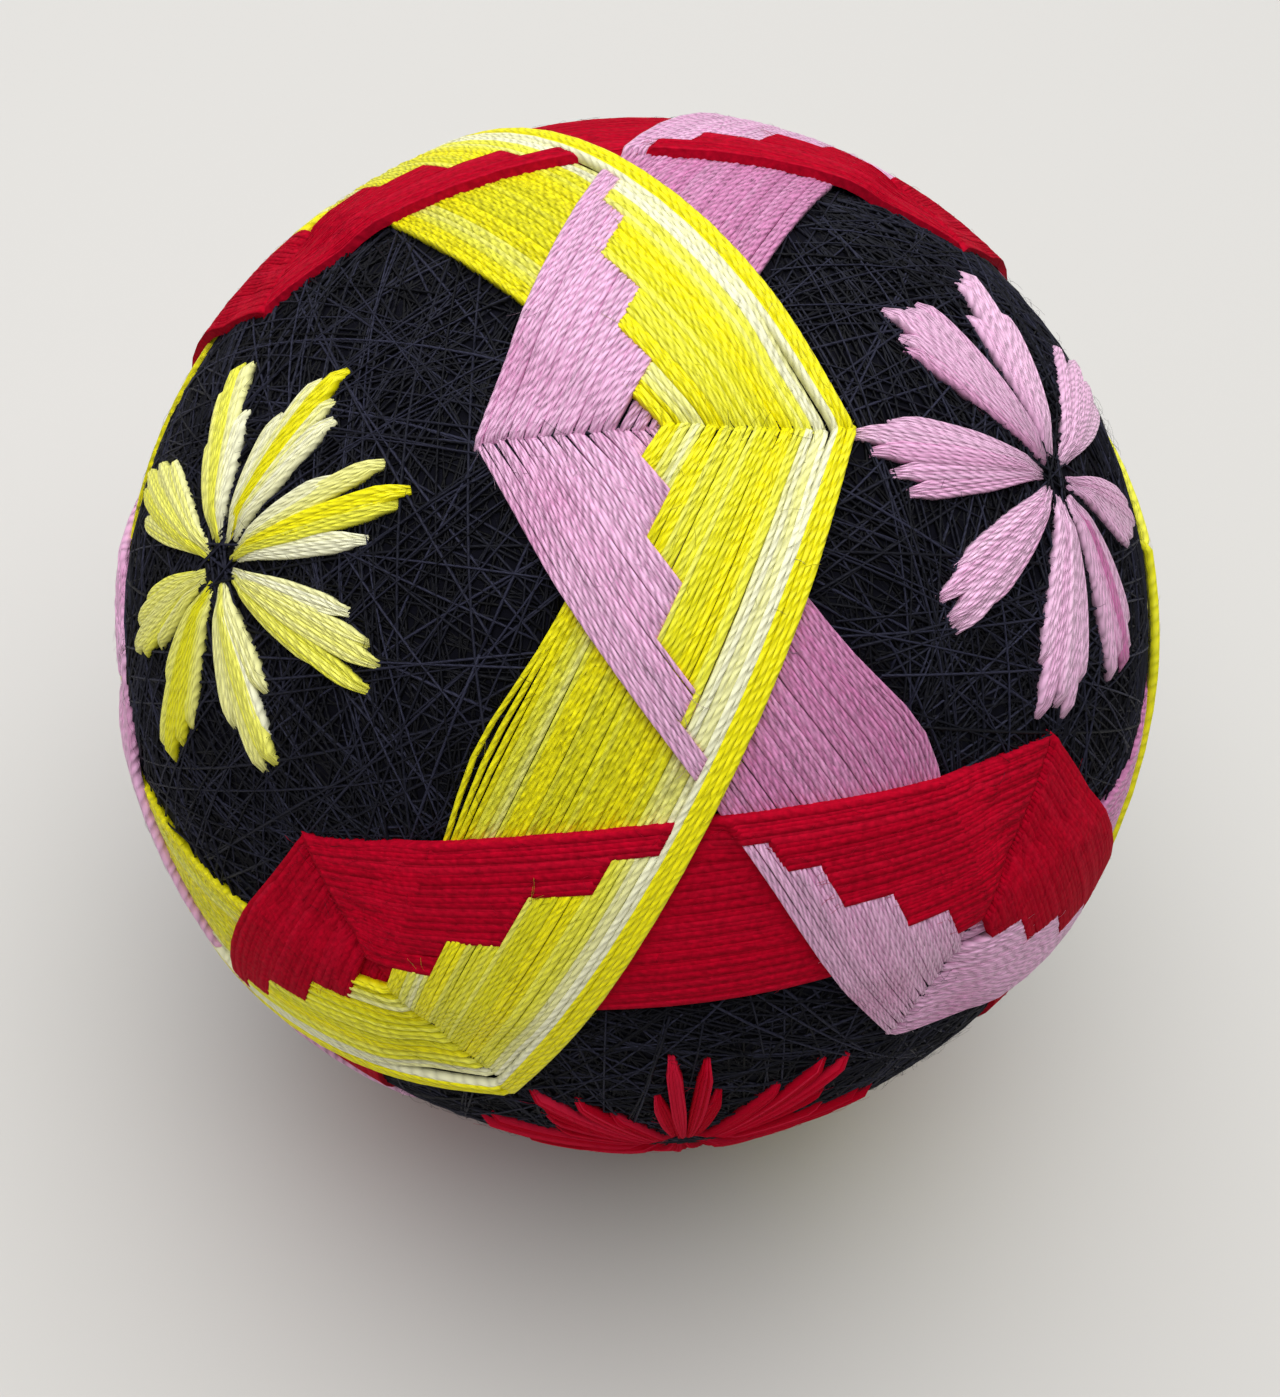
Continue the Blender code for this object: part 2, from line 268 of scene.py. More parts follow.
class Skein:
    """Threads gathered into one mesh, each a closed tube."""

    def __init__(self):
        self.points, self.faces, self.along, self.around = [], [], [], []
        self.tone, self.shade, self.felt, self.strip = [], [], [], []
        self.flanks = []
        self.count = 0
        self.tubes = 0

    def add(self, rings, along, tone, shade, felt=0.0):
        """Rings is a tube's sections, stations by corners by 3; along is each station's length in mm."""
        stations, corners = rings.shape[:2]
        first = self.count + np.arange(stations - 1)[:, None] * corners
        corner = np.arange(corners)[None, :]
        following = (corner + 1) % corners
        sides = np.stack([first + corner, first + following,
                          first + following + corners, first + corner + corners], -1)
        self.faces += list(sides.reshape(-1, 4))
        flanks = [corners == len(FUZZY_SECTION) and index not in TOP_FACES for index in range(corners)]
        self.flanks += flanks * (stations - 1) + [True, True]
        last = self.count + (stations - 1) * corners
        self.faces.append(np.arange(self.count, self.count + corners)[::-1])
        self.faces.append(np.arange(last, last + corners))
        self.points.append(rings.reshape(-1, 3))
        self.along.append(np.repeat(along, corners))
        self.around.append(np.tile(np.arange(corners) / corners, stations))
        self.tone.append(np.full(stations * corners, tone))
        self.shade.append(np.repeat(np.broadcast_to(shade, stations), corners))
        self.felt.append(np.repeat(np.broadcast_to(felt, stations), corners))
        self.strip.append(np.full(stations * corners, self.tubes))
        self.count += stations * corners
        self.tubes += 1

    def piece(self, name, material, melted=False):
        """The threads as an object in the ball's resting place; melted ones have sharp-edged flanks."""
        points = np.concatenate(self.points) @ BALL_TURN.T + BALL_CENTRE
        points[:, 2] = np.maximum(points[:, 2], 0)
        mesh = bpy.data.meshes.new(name)
        totals = np.array([len(face) for face in self.faces])
        corners = np.concatenate(self.faces)
        mesh.vertices.add(len(points))
        mesh.vertices.foreach_set("co", (points * MM).ravel())
        mesh.loops.add(len(corners))
        mesh.loops.foreach_set("vertex_index", corners)
        mesh.polygons.add(len(totals))
        mesh.polygons.foreach_set("loop_start", np.concatenate([[0], np.cumsum(totals)[:-1]]))
        mesh.update(calc_edges=True)
        mesh.shade_smooth()
        if melted:
            mesh.attributes.new("sharp_face", "BOOLEAN", "FACE").data.foreach_set("value", self.flanks)
        along, around = np.concatenate(self.along), np.concatenate(self.around)
        self.write_maps(mesh, corners, totals, along, around)
        for attribute, values in (("tone", self.tone), ("shade", self.shade), ("felt", self.felt)):
            layer = mesh.attributes.new(attribute, "FLOAT", "POINT")
            layer.data.foreach_set("value", np.concatenate(values))
        mesh.materials.append(material)
        piece = bpy.data.objects.new(name, mesh)
        bpy.context.scene.collection.objects.link(piece)
        return piece

    def write_maps(self, mesh, corners, totals, along, around):
        """The thread map runs in mm along and turns around; the other one packs the tubes in strips."""
        strip = np.concatenate(self.strip)
        turn = around[corners]
        face_of = np.repeat(np.arange(len(totals)), totals)
        highest = np.zeros(len(totals))
        np.maximum.at(highest, face_of, turn)
        turn = np.where((turn == 0) & (highest[face_of] > 0.7) & (totals[face_of] == 4), 1.0, turn)
        thread_map = mesh.uv_layers.new(name="thread")
        thread_map.data.foreach_set("uv", np.stack([along[corners], turn], -1).ravel())
        longest = max(values.max() for values in self.along)
        packed = np.stack([along[corners] / longest, (strip[corners] + 0.1 + 0.8 * turn) / self.tubes], -1)
        bake_map = mesh.uv_layers.new(name="OFBake")
        bake_map.data.foreach_set("uv", packed.ravel())


def strand_rings(tops, normals, half_widths, depth, section=STRAND_SECTION):
    """Sections of a strand whose crest follows the points in tops."""
    ahead = np.gradient(tops, axis=0)
    ahead /= np.linalg.norm(ahead, axis=1, keepdims=True)
    across = np.cross(ahead, normals)
    across /= np.linalg.norm(across, axis=1, keepdims=True)
    width = half_widths[:, None]
    corners = []
    for side, rise in section:
        down = -depth if rise is None else rise * width
        corners.append(tops + across * width * side + normals * down)
    return np.stack(corners[::-1], 1)


def length_along(points):
    """The length of a line up to each of its points."""
    steps = np.linalg.norm(np.diff(points, axis=0), axis=1)
    return np.concatenate([[0], np.cumsum(steps)])


def rounds_crossed_over(face, number, other_face):
    """How many rounds of the other square a round lies over, the first ones."""
    later = STITCH_ORDER.index(face) > STITCH_ORDER.index(other_face)
    return number if later else number - 1


# A millimetre across the rows as a share, and the lengths in mm over which a strand climbs onto and dives off
# another square's rows
SHARE_OF_MM = 0.0103
CLIMB_MM = 5.0
DIVE_MM = 0.75
DIVE_BEFORE_SEAM_MM = 0.45


def layer_at(other_share, crossed, other_thread, stays_up):
    """A strand's layer, 0 on the ball to 1 on the other square, by the other face's share."""
    if crossed == 0:
        return np.zeros_like(other_share)
    climbed = (0.5 + CLIMB_MM * SHARE_OF_MM - other_share) / (CLIMB_MM * SHARE_OF_MM)
    climb = np.sin(np.clip(climbed, 0, 1) * math.pi / 2)
    if stays_up:
        return climb
    seam = share_at(ROUND_EDGES_DEG[other_thread][crossed])
    dive = smooth((other_share - seam + DIVE_BEFORE_SEAM_MM * SHARE_OF_MM) / (DIVE_MM * SHARE_OF_MM))
    return climb * dive


# Places along a side: even steps, the ones near its ends, and in mm the ones for a climb and a dive
SIDE_STEPS = 18
END_PLACES = (0.005, 0.013, 0.03, 0.97, 0.987, 0.995)
CLIMB_PLACES_MM = (3.0, 1.0)
DIVE_PLACES_MM = (0.4, 0.15, -0.1, -0.3, -0.5)
CLEAR_OF_ENDS = 0.015
LEAST_STEP = 0.0035


def side_stations(own_share, crossings):
    """Places along a side from 0 to 1, closer together where a strand climbs or dives."""
    places = list(np.linspace(0, 1, SIDE_STEPS + 1))
    places += END_PLACES
    for (crossed, other_thread), from_start in zip(crossings, (True, False)):
        if crossed == 0:
            continue
        seam = share_at(ROUND_EDGES_DEG[other_thread][crossed])
        changes = [0.5 + step * SHARE_OF_MM for step in CLIMB_PLACES_MM]
        changes += [seam + step * SHARE_OF_MM for step in DIVE_PLACES_MM]
        for share in changes:
            place = 1 - share / (1 - own_share)
            place = place if from_start else 1 - place
            if CLEAR_OF_ENDS < place < 1 - CLEAR_OF_ENDS:
                places.append(place)
    places = np.sort(np.array(places))
    return places[np.concatenate([[True], np.diff(places) > LEAST_STEP])]


def square_round(thread, place, axis, side, number, rng):
    """One round of a square, all its strands on all four sides."""
    skein = Skein()
    own = np.zeros(3)
    own[axis] = side
    neighbours = []
    for other_side in (1, -1):
        for other_axis in ((axis + 1) % 3, (axis + 2) % 3):
            direction = np.zeros(3)
            direction[other_axis] = other_side
            neighbours.append((direction, next(
                (its_thread, its_place) for its_thread, its_place, its_axis, its_side in FACES
                if (its_axis, its_side) == (other_axis, other_side)
            )))
    before = sum(STRANDS_IN_ROUND[:number - 1])
    inner, outer = ROUND_EDGES_DEG[thread][number - 1:number + 1]
    strands = STRANDS_IN_ROUND[number - 1]
    pitch = (outer - inner) / strands
    for strand in range(strands):
        degrees = inner + pitch * (strand + 0.5)
        row = strand // STRANDS_IN_ROW
        row_middle = inner + pitch * (min(strands, STRANDS_IN_ROW * (row + 1)) + STRANDS_IN_ROW * row) / 2
        outermost = number == len(STRANDS_IN_ROUND) and strand == strands - 1
        tone = rng.normal(0, 1)
        lap = 0.0
        for corner in range(4):
            ends = (neighbours[corner], neighbours[(corner + 1) % 4])
            draws = [CORNERS_DRAWN_OTHERWISE.get((thread, place, end % 4), CORNER_DRAW)
                     for end in (corner, corner + 1)]
            crossings = [(rounds_crossed_over(f"{thread}_{place}", number, "_".join(other)), other[0])
                         for direction, other in ends]
            loose_at, slip, left = LOOSE_SIDES.get((thread, place, corner), (0.5, 0, 0))
            loose = (loose_at, slip * left ** (before + strand))
            bunching = [CORNERS_BUNCHED_OTHERWISE.get((thread, place, end % 4), BUNCHING[thread])
                        for end in (corner, corner + 1)]
            rings, along, felt = strand_side(
                thread, own, ends[0][0], ends[1][0], degrees, row_middle, pitch, draws,
                bunching, crossings, outermost, loose, rng,
            )
            rows_out = (before + strand + 0.5) / STRANDS_IN_ROW
            shade = yellow_shade(rows_out, place, corner, along) if thread == "yellow" else 0.5
            shade = np.clip(shade + rng.normal(0, ROW_SHADE_CHANGE[thread]) - FELT_SHADE[thread] * felt, 0, 1)
            skein.add(rings, lap + along, tone, shade, felt)
            lap += along[-1]
            # Red and pink hairs are paler than their strands as painted sheen
            hair_shade = shade[len(shade) // 2] if thread == "yellow" else SHEEN_HAIR_SHADE
            add_fuzz(skein, rings[:, len(STRAND_SECTION) // 2], FIBRES_ON_A_SIDE[thread], hair_shade, rng)
    return skein


def strand_side(thread, own, toward, onward, degrees, row_middle, pitch, draws, bunching, crossings,
                outermost, loose, rng):
    """One strand along one side of a square: its sections, and the length and the felt at each."""
    side_length = BALL_RADIUS * math.acos(math.cos(math.radians(degrees)) ** 2)
    places = side_stations(share_at(degrees), crossings)
    leaving, arriving = places * side_length, (1 - places) * side_length
    left_by, arrived_at = bunching
    bunched = (arrived_at["arriving"] * bell(arriving, arrived_at["arriving_reach"])
               + left_by["leaving"] * bell(leaving, left_by["leaving_reach"]))
    drawn = sum(draw * bell(run, CORNER_DRAW_REACH) for draw, run in zip(draws, (leaving, arriving)))
    offset = rng.normal(0, STRAND_OFFSET)
    wander = offset + STRAND_WAVE * np.sin(places * rng.uniform(6, 15) + rng.uniform(0, 6))
    sway = (row_middle - degrees) * bunched + pitch * wander
    loose_at, innermost_slip = loose
    slip = innermost_slip * bell(places, LOOSE_REACH, loose_at)
    own_share = share_at(degrees + sway - slip - (degrees - INNERMOST_DEG) * drawn)

    def directions(shares):
        rest = (1 - shares)[:, None]
        line = shares[:, None] * own + rest * ((1 - places)[:, None] * toward + places[:, None] * onward)
        return with_pin_drift(line)

    normals = directions(own_share)
    spread = directions(own_share + SPREAD_STEP) - directions(own_share - SPREAD_STEP)
    over_all = min(crossed for crossed, other in crossings) == len(STRANDS_IN_ROUND)
    layers = [layer_at((1 - own_share) * far, crossed, other, over_all)
              for far, (crossed, other) in zip((1 - places, places), crossings)]
    layer = np.maximum(*layers)
    tops = FIRST_LAYER_TOP + LAYER_RISE * layer + rng.normal(0, STRAND_UNEVENNESS[thread])
    tops = tops - ROW_ROUNDING * bunched * abs(row_middle - degrees) / pitch
    tops = tops - LEAVING_DIP * bell(leaving, LEAVING_DIP_REACH)
    tops = tops - ARRIVING_DIP * bell(arriving, ARRIVING_DIP_REACH)
    tops = tops + HUMP * bell(arriving, HUMP_REACH, HUMP_FROM_CORNER)
    crest = normals * tops[:, None]
    ahead = np.gradient(crest, axis=0)
    ahead /= np.linalg.norm(ahead, axis=1, keepdims=True)
    reach_over = OUTERMOST_REACH_OVER if outermost else REACH_OVER
    shift = reach_over * bell(arriving, REACH_OVER_LENGTH)
    shift = shift - LEAVING_START * bell(leaving, LEAVING_START_LENGTH)
    crest = crest + ahead * shift[:, None]
    gap = np.linalg.norm(np.cross(spread, ahead), axis=1) / (2 * SPREAD_STEP)
    share_per_degree = abs(share_at(degrees + 0.5) - share_at(degrees - 0.5))
    half_widths = STRAND_HALF_WIDTH * BALL_RADIUS * gap * share_per_degree * pitch
    half_widths = half_widths * (1 - bunched * BUNCHED_NARROWING)
    change = rng.normal(0, WIDTH_CHANGE)
    ripple = WIDTH_RIPPLE * np.sin(places * WIDTH_RIPPLE_RATE + rng.uniform(0, 6))
    half_widths = half_widths * (1 + change + ripple)
    if outermost:
        half_widths = half_widths * (1 + SWELLING * bell(arriving, SWELLING_REACH, SWELLING_FROM_CORNER))
    section = FUZZY_SECTION if thread == "red" else STRAND_SECTION
    # The felt mask: the lowest layer away from the corners, made mottled, less crisp and darker
    felt = (1 - layer) * smooth((0.5 - np.abs(places - 0.5)) / FELT_FROM_CORNER)
    if thread == "red":
        felt = np.ones_like(places)
    return strand_rings(crest, normals, half_widths, FLOSS_DEPTH, section), length_along(crest), felt


# The floss in the lowest layer, away from the corners, is mottled, less crisp and deeper and darker in
# colour: over what share of a side that comes on from each end, and how much of the shade it takes
FELT_FROM_CORNER = 0.22
FELT_SHADE = {"pink": 0.35, "yellow": 0.14, "red": 0.0}
# How much a thread's strands differ in shade from side to side
ROW_SHADE_CHANGE = {"pink": 0.04, "yellow": 0.07, "red": 0.06}
# The hairs that stand off a strand along one side: how many, their shade, on red and pink paler as painted
# sheen, and their form
FIBRES_ON_A_SIDE = {"red": 8, "pink": 4, "yellow": 4}
SHEEN_HAIR_SHADE = 0.9
HAIR_SCATTER = 0.45
HAIR_SUNK = 0.04
HAIR_LENGTH = (0.6, 1.6)
HAIR_LIFT = (0.02, 0.16)
HAIR_HALF_WIDTH = 0.013
HAIR_DEPTH = 0.02
HAIR_STEPS = 4


def add_fuzz(skein, crest, hairs, shade, rng):
    """Short hairs that stand off a strand."""
    for station in rng.integers(1, len(crest) - 1, hairs):
        root = crest[station] / np.linalg.norm(crest[station])
        run = crest[station + 1] - crest[station - 1]
        run = run / np.linalg.norm(run) + rng.normal(0, HAIR_SCATTER, 3)
        height = np.linalg.norm(crest[station]) - HAIR_SUNK
        fibre(skein, root, height, run, rng.uniform(*HAIR_LENGTH), rng.uniform(*HAIR_LIFT), HAIR_HALF_WIDTH,
              shade, rng)


def fibre(skein, root, height, run, length, lift, half_width, shade, rng):
    """One fine hair that rises off the thread and mostly comes back to it."""
    run = run - root * (run @ root)
    run /= np.linalg.norm(run)
    bow = np.cross(root, run) * rng.uniform(-0.5, 0.5)
    steps = np.linspace(0, 1, HAIR_STEPS)[:, None]
    line = root * height + (run * steps + bow * steps ** 2) * length
    line = line + root * (lift * np.sin(steps * math.pi * rng.uniform(0.5, 0.95)))
    normals = np.repeat(root[None], len(line), 0)
    half_widths = np.full(len(line), half_width)
    rings = strand_rings(line, normals, half_widths, HAIR_DEPTH, WINDING_SECTION)
    skein.add(rings, length_along(line), rng.normal(0, 1), shade)


# How many rows further on in its shades the floss of the back square begins
BACK_SHADES_AHEAD = 5.5
# Where along its side a widening shade begins to change, and over what share of it
WIDENING_FROM = 0.35
WIDENING_OVER = 0.25


def yellow_shade(rows_out, place, corner, along):
    """The variegated floss's shade at a row of a yellow square, which may change along a side."""
    if place == "back":
        rows_out = (rows_out + BACK_SHADES_AHEAD) % sum(rows for rows, shade in YELLOW_SHADES)
    passed = np.cumsum([rows for rows, shade in YELLOW_SHADES])[:-1]
    shade = YELLOW_SHADES[np.searchsorted(passed, rows_out)][1]
    first, last, end_shade = WIDENING_SHADES.get((place, corner), (0, 0, 0))
    if first < rows_out < last:
        return shade + (end_shade - shade) * smooth((along / along[-1] - WIDENING_FROM) / WIDENING_OVER)
    return np.full_like(along, shade)


# How a flower's stitches scatter: in degrees at the tip and the root, in an outer one's length and in shade;
# and how far from its centre they begin
TIP_SCATTER_DEG = 1.3
ROOT_SCATTER_DEG = 2
OUTER_LENGTH_CHANGE = (-0.05, 0.12)
STITCH_SHADE_CHANGE = 0.06
ROOT_DISTANCE = (1.4, 2.4)
# What is left of a stitch's turn from its petal's middle at the root, and how much higher the middle ones lie
ROOT_LEAN = 0.9
MIDDLE_LIFT = 3
WIDEST_LEAN = 12
SIDE_LIFT = 0.04


def stitched_flower(thread, place, axis, side, rng):
    """Eight petals of straight stitches, which meet at the flower's centre."""
    skein = Skein()
    next_axes = [np.eye(3)[(axis + turn) % 3] for turn in (1, 2)]
    own = np.zeros(3)
    own[axis] = side
    shift = FLOWER_SHIFTS[f"{thread}_{place}"]
    centre = own + (next_axes[0] * shift[0] + next_axes[1] * shift[1]) / BALL_RADIUS
    centre /= np.linalg.norm(centre)
    first = next_axes[0] - centre * (centre @ next_axes[0])
    first /= np.linalg.norm(first)
    second = np.cross(centre, first)
    for (turn, length), shades in zip(PETALS[thread], PETAL_SHADES[thread]):
        side_first = rng.choice((-1, 1))
        for stitch_shade, (lean, share) in zip(shades, PETAL_STITCHES[thread]):
            lift = (1 - abs(lean) / WIDEST_LEAN) * MIDDLE_LIFT + SIDE_LIFT * lean * side_first
            tip_turn = math.radians(turn + lean + rng.normal(0, TIP_SCATTER_DEG))
            tip = length * (share + rng.uniform(*OUTER_LENGTH_CHANGE) * (share < 1))
            root_turn = math.radians(turn + lean * ROOT_LEAN + rng.normal(0, ROOT_SCATTER_DEG))
            shade = np.clip(stitch_shade + rng.normal(0, STITCH_SHADE_CHANGE), 0, 1)
            root = rng.uniform(*ROOT_DISTANCE)
            stitch(skein, thread, centre, first, second, (root, root_turn), (tip, tip_turn), lift, shade, rng)
    return skein


STITCH_STEPS = 15
# A stitch's width at its root and tip as a share of its widest, and how far in it is full: from the root
# as a share of its length, from the tip in mm
ROOT_WIDTH = 0.3
ROOT_TAPER = 0.55
TIP_WIDTH = 0.42
TIP_TAPER = 2.6
# How far in from the root and from the tip a stitch stands at its full height
ROOT_RISE = 2.5
TIP_RISE = 1.1
# The height of its ends and its middle over the ball, and what its lift adds and its rounding takes off
STITCH_FOOT = 0.1
STITCH_HEIGHT = 0.55
LIFT_HEIGHT = 0.06
STITCH_ROUNDING = 0.1
STITCH_UNEVENNESS = 0.03
# A strand's half width as a share of its stitch's, and how much it changes
STRAND_IN_STITCH = 0.25
STITCH_STRAND_CHANGE = 0.08


def stitch(skein, thread, centre, first, second, root, tip, lift, shade, rng):
    """One straight stitch: strands side by side that enter the ball at both ends."""
    steps = np.linspace(0, 1, STITCH_STEPS)

    def flat(polar):
        return np.array((math.cos(polar[1]), math.sin(polar[1]))) * polar[0]

    start, end = flat(root), flat(tip)
    line = start + (end - start) * steps[:, None]
    run = (end - start) / np.linalg.norm(end - start)
    across = np.array((-run[1], run[0]))
    length = np.linalg.norm(end - start)
    from_root, from_tip = steps * length, (1 - steps) * length
    widening = ROOT_WIDTH + (1 - ROOT_WIDTH) * smooth(from_root / (ROOT_TAPER * length))
    narrowing = TIP_WIDTH + (1 - TIP_WIDTH) * smooth(from_tip / TIP_TAPER)
    spread = STITCH_HALF_WIDTH[thread] * widening * narrowing
    for strand in STITCH_STRANDS:
        offset = strand * spread
        flat_line = line + across * offset[:, None]
        distance = np.linalg.norm(flat_line, axis=1)
        bend = distance / BALL_RADIUS
        heading = (flat_line[:, :1] * first + flat_line[:, 1:] * second) / distance[:, None]
        normals = centre * np.cos(bend)[:, None] + heading * np.sin(bend)[:, None]
        rise = smooth(from_root / ROOT_RISE) * smooth(from_tip / TIP_RISE)
        height = STITCH_HEIGHT + LIFT_HEIGHT * lift - STITCH_ROUNDING * strand * strand
        tops = BALL_RADIUS + STITCH_FOOT + height * rise + rng.normal(0, STITCH_UNEVENNESS)
        half_widths = STRAND_IN_STITCH * spread * (1 + rng.normal(0, STITCH_STRAND_CHANGE))
        crest = normals * tops[:, None]
        strand_shade = np.clip(shade + rng.normal(0, STRAND_SHADE_CHANGE[thread]), 0, 1)
        skein.add(strand_rings(crest, normals, half_widths, FLOSS_DEPTH), length_along(crest),
                  rng.normal(0, 1), strand_shade)
        # A pale hair on each red strand as painted sheen on the fuzz
        if thread == "red":
            add_fuzz(skein, crest, 1, 1.0, rng)


# The winding goes round in passes of a few turns each, which creep aside from turn to turn
WINDING_TURNS = 900
WINDING_PASSES = 300
TURN_STEPS = 72
CREEP = (0.03, 0.12)
POLE_SCATTER = 0.012
TURN_WAVE = 0.008
# The height of the deepest turns from the ball's radius, the rise to the last ones, and their unevenness
DEEPEST_TURN = -0.12
WINDING_RISE = 0.38
TURN_UNEVENNESS = 0.05
# Turns show where the nearest face's share is above this, a little way in under the squares
SHOWN_SHARE = 0.485
# The first share of the turns, which lie deepest, is darker as painted shade; the later ones are paler at
# random, partly as painted highlight
SHADED_DEEP_TURNS = 0.6
TURN_HALF_WIDTH = (0.09, 0.15)
TURN_DEPTH = 0.15
# A fine thread's section, in half widths as with the floss
WINDING_SECTION = ((-1.0, -1.1), (0.0, 0.0), (1.0, -1.1))


def wound_threads(rng):
    """Turns of the dark thread round the ball, kept where the squares leave them in sight."""
    skeins = [Skein() for _ in range(3)]
    per_pass = WINDING_TURNS // WINDING_PASSES
    angles = np.linspace(0, 2 * math.pi, TURN_STEPS + 1)
    for turn in range(WINDING_PASSES * per_pass):
        if turn % per_pass == 0:
            pole = rng.normal(size=3)
            pole /= np.linalg.norm(pole)
            creep = np.cross(pole, rng.normal(size=3)) * rng.uniform(*CREEP)
        axis = pole + creep * (turn % per_pass) + rng.normal(0, POLE_SCATTER, 3)
        axis /= np.linalg.norm(axis)
        first = np.cross(axis, (0.3, 0.5, 0.8))
        first /= np.linalg.norm(first)
        second = np.cross(axis, first)
        start = rng.uniform(0, 2 * math.pi)
        line = np.cos(angles + start)[:, None] * first + np.sin(angles + start)[:, None] * second
        wave = TURN_WAVE * np.sin(angles * rng.integers(2, 6) + rng.uniform(0, 6))
        line = line + axis * wave[:, None]
        line /= np.linalg.norm(line, axis=1, keepdims=True)
        height = BALL_RADIUS + DEEPEST_TURN + WINDING_RISE * turn / WINDING_TURNS
        height = height + TURN_UNEVENNESS * np.sin(angles * rng.integers(5, 12) + rng.uniform(0, 6))
        shown = np.abs(line).max(1) / np.abs(line).sum(1) > SHOWN_SHARE
        tone = rng.normal(0, 1)
        # Painted shade on the deep turns, and paler later turns that are partly painted highlight
        shade = rng.uniform(0, 0.25) if turn < SHADED_DEEP_TURNS * WINDING_TURNS else rng.uniform(0.2, 1.0)
        width = np.full(len(line), rng.uniform(*TURN_HALF_WIDTH))
        for run in np.split(np.arange(len(line)), np.nonzero(np.diff(shown.astype(int)))[0] + 1):
            if not shown[run[0]] or len(run) < 3:
                continue
            crest = line[run] * height[run][:, None]
            rings = strand_rings(crest, line[run], width[run], TURN_DEPTH, WINDING_SECTION)
            skeins[turn % len(skeins)].add(rings, length_along(crest), tone, shade)
    return skeins


# The dark thread's stray hairs, which stand where the nearest face's share is above this
FUZZ_FIBRES = 5200
FUZZ_SHARE = 0.5
# The share of them that are pale as painted sheen, and the shade of those and of the others
SHEEN_FIBRES = 0.12
SHEEN_FIBRE_SHADE = 1.0
FIBRE_SHADE = 0.55
FIBRE_HEIGHT = 0.22
FIBRE_LENGTH = (0.8, 2.6)
FIBRE_LIFT = (0.03, 0.45)
FIBRE_HALF_WIDTH = 0.012


def stray_fibres(rng):
    """Fine hairs that stand off the dark thread."""
    skein = Skein()
    made = 0
    while made < FUZZ_FIBRES:
        root = rng.normal(size=3)
        root /= np.linalg.norm(root)
        if np.abs(root).max() / np.abs(root).sum() < FUZZ_SHARE:
            continue
        made += 1
        shade = SHEEN_FIBRE_SHADE if rng.random() < SHEEN_FIBRES else FIBRE_SHADE
        fibre(skein, root, BALL_RADIUS + FIBRE_HEIGHT, rng.normal(size=3), rng.uniform(*FIBRE_LENGTH),
              rng.uniform(*FIBRE_LIFT), FIBRE_HALF_WIDTH, shade, rng)
    return skein


def group_tree(name, inputs, outputs):
    """An empty shader node group with named sockets."""
    tree = bpy.data.node_groups.new(name, "ShaderNodeTree")
    for socket, kind, value in inputs:
        made = tree.interface.new_socket(socket, in_out="INPUT", socket_type=kind)
        if value is not None:
            made.default_value = value
    for socket, kind in outputs:
        tree.interface.new_socket(socket, in_out="OUTPUT", socket_type=kind)
    start = tree.nodes.new("NodeGroupInput")
    end = tree.nodes.new("NodeGroupOutput")
    return tree, start.outputs, end.inputs


def math_node(tree, operation, a, b=None, c=None):
    """A maths node on sockets or numbers, and its result."""
    node = tree.nodes.new("ShaderNodeMath")
    node.operation = operation
    for socket, value in zip(node.inputs, (a, b, c)):
        if value is None:
            continue
        if isinstance(value, (int, float)):
            socket.default_value = value
        else:
            tree.links.new(value, socket)
    return node.outputs[0]


# Factors on a strand's own tone that set its noises and its twist apart from those of the strands beside it
NOISE_APART = 7.7
TWIST_APART = 3.7
FIBRES_APART = 9.1


def noise_along(tree, along, tone, scale, offset):
    """A slow noise that runs along a thread and differs from strand to strand."""
    join = tree.nodes.new("ShaderNodeCombineXYZ")
    tree.links.new(math_node(tree, "MULTIPLY", along, scale), join.inputs[0])
    tree.links.new(math_node(tree, "MULTIPLY_ADD", tone, NOISE_APART, offset), join.inputs[1])
    noise = tree.nodes.new("ShaderNodeTexNoise")
    noise.inputs["Scale"].default_value = 1.0
    noise.inputs["Detail"].default_value = 1.0
    tree.links.new(join.outputs[0], noise.inputs["Vector"])
    return noise.outputs["Fac"]


